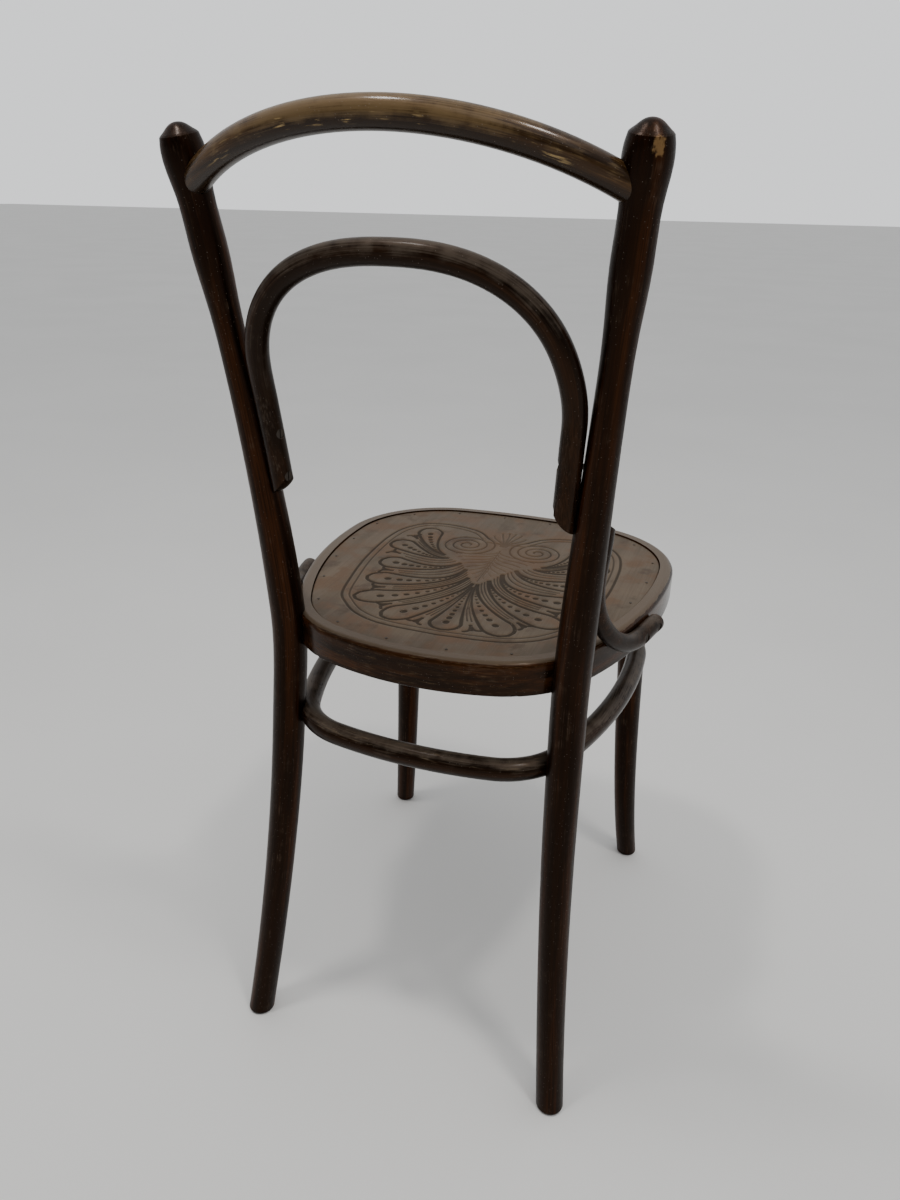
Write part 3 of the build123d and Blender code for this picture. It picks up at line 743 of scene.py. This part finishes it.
# Beads of a petal: the shares of its length that they take, and each bead's half length and half
# width at the root, with their gain towards the tip
BEADS = 12
BEADS_START, BEADS_SPAN, BEADS_SPREAD = 0.16, 0.82, 1.5
BEAD_LENGTH, BEAD_LENGTH_GAIN = 0.3, 0.7
BEAD_WIDTH, BEAD_WIDTH_GAIN = 0.2, 3.8

# Ribs between two petals: one where the gap is wide enough, and two where it is wider. Their end
# and the sprig's place are counted in points along the petals.
RIB_GAP, FORK_GAP = 3.5, 9
RIB_LINE, RIB_GAP_SHARE = LINE * 0.5, 0.07
RIB_DEPTH = DEPTH * 0.9
STEM_PLACE = 0.5
FORK_PLACES = (0.36, 0.64)
RIB_END = 46
SPRIG_ROOT, SPRIG_BELOW = 49, 40

# Sprigs: the stem's height, and where a twig starts, bends and ends
SPRIG_HEIGHT = 11
TWIG_START, TWIG_BEND, TWIG_SIDE, TWIG_CURL, TWIG_REACH = 2, 10, 2, 2, 7
TWIG_LINE = LINE * 0.9


def petal_width(share, most):
    """Half width of a petal from its narrow root to its round tip."""
    width = PETAL_ROOT + (most - PETAL_ROOT) * min(1.0, share / PETAL_ROUND) ** PETAL_SWELL
    round_off = max(0.0, (share - PETAL_ROUND) / (1 - PETAL_ROUND))
    return width * sqrt(max(0.0, 1 - round_off**2))


def draw_beads(middle):
    """A row of beads along a petal's middle line, larger towards its tip."""
    for bead in range(BEADS):
        share = PETAL_ROUND * (BEADS_START + BEADS_SPAN * (bead / (BEADS - 1)) ** BEADS_SPREAD)
        index = round(share * (len(middle) - 1))
        along = (middle[index + 1] - middle[index - 1]).normalized()
        reach = BEAD_LENGTH + BEAD_LENGTH_GAIN * share
        ends = [middle[index] - along * reach, middle[index] + along * reach]
        stroke(ends, even(ends, BEAD_WIDTH + BEAD_WIDTH_GAIN * share), DEPTH, "beads")


def draw_ribs(right, left, gaps):
    """The ribs between the near sides of two petals."""
    stem = [index for index in range(RIB_END) if RIB_GAP < gaps[index] <= FORK_GAP]
    fork = [index for index in range(RIB_END) if gaps[index] > FORK_GAP]
    for place, indices in [(STEM_PLACE, stem)] + [(place, fork) for place in FORK_PLACES]:
        rib = [right[index].lerp(left[index], place) for index in indices]
        half_widths = [min(RIB_LINE, gaps[index] * RIB_GAP_SHARE) for index in indices]
        stroke(rib, half_widths, RIB_DEPTH, "ribs")


def draw_sprig(root, below):
    """A small sprig with two curled twigs, which grows away from a point below its root."""
    ahead = (root - below).normalized()
    aside = Vector((ahead.y, -ahead.x))
    stem = [root, root + ahead * SPRIG_HEIGHT]
    stroke(stem, even(stem, LINE), DEPTH, "sprigs")
    for side in (-1, 1):
        bend = root + ahead * TWIG_BEND + aside * side * TWIG_SIDE
        curl = bend + ahead * TWIG_CURL
        twig = bezier(root + ahead * TWIG_START, bend, curl, curl + aside * side * TWIG_REACH, steps=20)
        stroke(twig, even(twig, TWIG_LINE), DEPTH, "sprigs")


def draw_petals():
    """Petal outlines, their bead rows, the ribs between them and the sprigs between their tips."""
    sides = []
    for *corners, most in PETALS:
        middle = bezier(*corners)
        last = len(middle) - 1
        widths = [petal_width(index / last, most) for index in range(last + 1)]
        sides.append((beside(middle, [-width for width in widths]), beside(middle, widths)))
        draw_beads(middle)
    for (_, right), (left, _) in zip(sides, sides[1:]):
        gaps = [(one - two).length for one, two in zip(right, left)]
        for side in (right, left):
            stroke(side, [min(LINE, EDGE_LEAST + EDGE_GAP_SHARE * gap) for gap in gaps], DEPTH)
        draw_ribs(right, left, gaps)
        between = [one.lerp(two, 0.5) for one, two in zip(right, left)]
        draw_sprig(between[SPRIG_ROOT], between[SPRIG_BELOW])
    last_side = sides[-1][1]
    stroke(last_side, even(last_side, LAST_EDGE), DEPTH)


# Border: its outer line from the rear middle to the volute, and the gap to its inner line
BORDER = [
    (0, 118.5), (55, 114), (87, 101), (108, 80), (120, 60), (128, 19), (134, -26), (136, -71),
    (135, -106), (129, -136), (113, -160), (90, -169), (62.5, -167), (38, -157), (22, -138),
]
BORDER_GAP = 7.5
BORDER_LINE, BORDER_DEPTH = LINE * 0.8, DEPTH * 0.9
INNER_LINE, INNER_DEPTH = LINE * 0.6, DEPTH * 0.8
VOLUTE_CENTRE = Vector((40, -112))
VOLUTE_TURNS, VOLUTE_STEPS = 3.2, 300
VOLUTE_EYE = 2.5
VOLUTE_LINE, VOLUTE_DEPTH = LINE * 0.6, DEPTH * 0.85


def draw_border():
    """The double border line, and the volute that its front end curls into."""
    path = through(BORDER)
    spoke = path[-1] - VOLUTE_CENTRE
    first, reach = atan2(spoke.y, spoke.x), spoke.length
    spiral = []
    for step in range(1, VOLUTE_STEPS + 1):
        share = step / VOLUTE_STEPS
        angle = first - VOLUTE_TURNS * 2 * pi * share
        radius = reach + (VOLUTE_EYE - reach) * share
        spiral.append(VOLUTE_CENTRE + Vector((cos(angle), sin(angle))) * radius)
    stroke(path, even(path, BORDER_LINE), BORDER_DEPTH)
    stroke(path[-1:] + spiral, even(spiral, VOLUTE_LINE), VOLUTE_DEPTH)
    inner = beside(path, even(path, BORDER_GAP))
    stroke(inner, even(inner, INNER_LINE), INNER_DEPTH)


# Leaf below the petals' roots: its middle vein, and the first side vein with the step to the next
MIDDLE_VEIN = [Vector((0, -12)), Vector((0, -104))]
VEINS = 8
VEIN_ROOT, VEIN_ROOT_STEP, VEIN_ROOT_BEND = Vector((2.0, -42)), Vector((0, -8)), Vector((1, 12))
VEIN_TIP, VEIN_TIP_STEP, VEIN_TIP_BEND = Vector((5, -20)), Vector((5.7, -8.5)), Vector((-5, -8))
MIDDLE_VEIN_LINE, VEIN_LINE = LINE * 0.4, LINE * 0.3
VEIN_DEPTH = DEPTH * 0.75

# Spray between the volutes: the first blade, the step to the next and the tips' curve
BLADES = 4
BLADE_ROOT, BLADE_ROOT_STEP, BLADE_ROOT_BEND = Vector((1, -118)), Vector((0.8, 0)), Vector((0, -16))
BLADE_TIP, BLADE_TIP_STEP, BLADE_TIP_BEND = Vector((4, -164)), Vector((7.5, 0)), Vector((-3, 14))
BLADE_TIP_CURVE = Vector((0, 3.5))
BLADE_LINE, BLADE_DEPTH = LINE * 0.7, DEPTH * 0.65


def draw_leaf():
    """The faint leaf below the petals' roots, and the spray between the volutes."""
    stroke(MIDDLE_VEIN, even(MIDDLE_VEIN, MIDDLE_VEIN_LINE), VEIN_DEPTH)
    for index in range(VEINS):
        root = VEIN_ROOT + VEIN_ROOT_STEP * index
        tip = VEIN_TIP + VEIN_TIP_STEP * index
        vein = bezier(root, root + VEIN_ROOT_BEND, tip + VEIN_TIP_BEND, tip, steps=30)
        stroke(vein, even(vein, VEIN_LINE), VEIN_DEPTH)
    for index in range(BLADES):
        root = BLADE_ROOT + BLADE_ROOT_STEP * index
        tip = BLADE_TIP + BLADE_TIP_STEP * index + BLADE_TIP_CURVE * index**2
        blade = bezier(root, root + BLADE_ROOT_BEND, tip + BLADE_TIP_BEND, tip, steps=30)
        stroke(blade, even(blade, BLADE_LINE), BLADE_DEPTH)


def layer_depths(layer, points):
    """How deep one layer of the ornament is pressed at each point."""
    right = Vector((cos(AXIS_TURN), sin(AXIS_TURN)))
    ahead = Vector((-sin(AXIS_TURN), cos(AXIS_TURN)))
    marks = []
    for line, half_widths, depth in strokes[layer]:
        for one, two, half_width in zip(line, line[1:], half_widths):
            count = max(1, int((two - one).length / MARK_STEP))
            marks += [(one.lerp(two, step / count), half_width, depth) for step in range(count)]
    tree = kdtree.KDTree(len(marks))
    for index, (place, _, _) in enumerate(marks):
        place = AXIS_FOOT + right * place.x + ahead * place.y
        tree.insert((place.x, place.y, 0.0), index)
    tree.balance()
    found = []
    for point in points:
        _, index, distance = tree.find((point.x, point.y, 0.0))
        _, half_width, depth = marks[index]
        share = min(1.0, max(0.0, (half_width + WALL_START - distance) / WALL_WIDTH))
        found.append(depth * share * share * (3 - 2 * share))
    return found


def ornament_depths(points):
    """The deepest layer at each point, so that a thin line doesn't hide a broad one beside it."""
    return [max(depths) for depths in zip(*[layer_depths(layer, points) for layer in LAYERS])]


# Embossed panel: the number of square rings in its grid, and its edge, in millimetres
PANEL_RINGS = 220
PANEL_INSET = 14.6
PANEL_EDGE_DROP = 0.8


def place_on_ring(i, j, ring):
    """Steps from the rear middle round by +X to a point of a square ring."""
    if j == ring and i >= 0:
        return i
    if i == ring:
        return 2 * ring - j
    if j == -ring:
        return 4 * ring - i
    if i == -ring:
        return 6 * ring + j
    return 8 * ring + i


def panel_grid():
    """A grid of points by column and row, whose square rings ease into the panel's outline."""
    middle = Vector((0, SEAT_MIDDLE_Y / MM))
    count = 8 * PANEL_RINGS
    rim = evenly(outline(PANEL_INSET), [step / count for step in range(count)])
    grid = {}
    for j in range(-PANEL_RINGS, PANEL_RINGS + 1):
        for i in range(-PANEL_RINGS, PANEL_RINGS + 1):
            ring = max(abs(i), abs(j))
            place = place_on_ring(i, j, ring) * PANEL_RINGS // max(1, ring)
            grid[i, j] = middle.lerp(rim[place % count], ring / PANEL_RINGS)
    return grid


def add_object(name, data):
    """An object in the scene."""
    made = bpy.data.objects.new(name, data)
    bpy.context.collection.objects.link(made)
    return made


def make_panel():
    """A closed panel whose top carries the pressed ornament."""
    grid = panel_grid()
    depths = ornament_depths(list(grid.values()))
    corners, index_of = [], {}
    for ((i, j), point), depth in zip(grid.items(), depths):
        drop = PANEL_EDGE_DROP if max(abs(i), abs(j)) == PANEL_RINGS else 0.0
        index_of[i, j] = len(corners)
        corners.append((point.x * MM, point.y * MM, PANEL_TOP - (depth + drop) * MM))
    steps = range(-PANEL_RINGS, PANEL_RINGS)
    faces = []
    for j in steps:
        for i in steps:
            faces.append([index_of[i, j], index_of[i + 1, j], index_of[i + 1, j + 1], index_of[i, j + 1]])
    top_faces = len(faces)
    border = [index_of[step, -PANEL_RINGS] for step in steps]
    border += [index_of[PANEL_RINGS, step] for step in steps]
    border += [index_of[-step, PANEL_RINGS] for step in steps]
    border += [index_of[-PANEL_RINGS, -step] for step in steps]
    count, foot = len(border), len(corners)
    corners += [(corners[index][0], corners[index][1], PANEL_BOTTOM) for index in border]
    for step in range(count):
        after = (step + 1) % count
        faces.append([border[after], border[step], foot + step, foot + after])
    faces.append([foot + step for step in reversed(range(count))])
    mesh = bpy.data.meshes.new("seat_panel_embossed")
    mesh.from_pydata(corners, [], faces)
    groove = mesh.attributes.new("groove", "FLOAT", "POINT")
    groove.data.foreach_set("value", [depth / DEPTH for depth in depths] + [0.0] * count)
    mesh.polygons.foreach_set("use_smooth", [index < top_faces for index in range(len(faces))])
    mesh.materials.append(panel_look)
    mesh.validate()
    return add_object("seat_panel_embossed", mesh)


draw_border()
draw_petals()
draw_leaf()
panel = make_panel()
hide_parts("seat_panel")
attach(panel, "root")

# Floor, light and camera
FLOOR_REACH = 40.0
LIGHT_TARGET = Vector((0, 0, 0.5))
LIGHT_COLOUR = (1.0, 0.98, 0.95)
CEILING_SIZE, CEILING_WATTS = (0.24, 0.2), 9
KEY_SIZE, KEY_WATTS = (2.0, 1.6), 10
WALL_FORWARD, WALL_HIGH = 0.8, 0.6
WALL_DIM, WALL_BRIGHT, BACKDROP = 0.12, 0.75, 1.15
WALL_COLOUR = (0.97, 0.985, 1.0)
CAMERA_PLACE = (-0.2723, 0.8012, 0.8267)
CAMERA_TILT, CAMERA_ROLL, CAMERA_TURN = radians(65.659), radians(-0.96), radians(-159.47)
CAMERA_SENSOR, CAMERA_LENS = 36.0, 26.87


def make_floor():
    """A plain pale floor."""
    shader = Shader(bpy.data.materials.new("floor_look"))
    colour = shader.layer(FLOOR_DARK, FLOOR_PALE, shader.blotches(scale=1.3), 0.35, 0.65)
    shader.dress({"Base Color": colour, "Roughness": 0.7})
    corners = [(x * FLOOR_REACH, y * FLOOR_REACH, 0) for x, y in ((-1, -1), (1, -1), (1, 1), (-1, 1))]
    mesh = bpy.data.meshes.new("floor")
    mesh.from_pydata(corners, [], [(0, 1, 2, 3)])
    mesh.materials.append(shader.owner)
    return add_object("floor", mesh)


def soft_light(name, place, size, watts):
    """A soft light that looks at the chair's middle."""
    data = bpy.data.lights.new(name, "AREA")
    data.shape = "RECTANGLE"
    data.size, data.size_y = size
    data.energy, data.color = watts, LIGHT_COLOUR
    lamp = add_object(name, data)
    lamp.location = place
    lamp.rotation_euler = (LIGHT_TARGET - Vector(place)).to_track_quat("-Z", "Y").to_euler()
    lamp.visible_camera = False


def make_surroundings():
    """Soft light from a wall in front of the sitter and from above, before a plain bright backdrop."""
    shader = Shader(bpy.data.worlds.new("studio"), "Background")
    _, y, z = shader.position("Generated")
    bright_side = shader.add(shader.times(y, -WALL_FORWARD), shader.times(z, WALL_HIGH))
    light = shader.ramp(bright_side, -0.6, 0.7, WALL_DIM, WALL_BRIGHT)
    seen = shader.node("ShaderNodeLightPath", {}).outputs["Is Camera Ray"]
    strength = shader.math("MAXIMUM", light, shader.times(seen, BACKDROP))
    shader.dress({"Color": WALL_COLOUR, "Strength": strength})
    return shader.owner


def make_camera():
    """A camera at the photograph's viewing angle."""
    data = bpy.data.cameras.new("photo_camera")
    data.sensor_width, data.lens = CAMERA_SENSOR, CAMERA_LENS
    camera = add_object("photo_camera", data)
    turn = Euler((CAMERA_TILT, CAMERA_ROLL, CAMERA_TURN))
    camera.matrix_world = Matrix.Translation(CAMERA_PLACE) @ turn.to_matrix().to_4x4()
    return camera


make_floor()
soft_light("left_ceiling_light", (0.5, 0.35, 2.4), CEILING_SIZE, CEILING_WATTS)
soft_light("right_ceiling_light", (-0.75, 0.35, 2.4), CEILING_SIZE, CEILING_WATTS)
soft_light("key_light", (-1.0, 1.5, 2.9), KEY_SIZE, KEY_WATTS)
bpy.context.scene.world = make_surroundings()
bpy.context.scene.camera = make_camera()
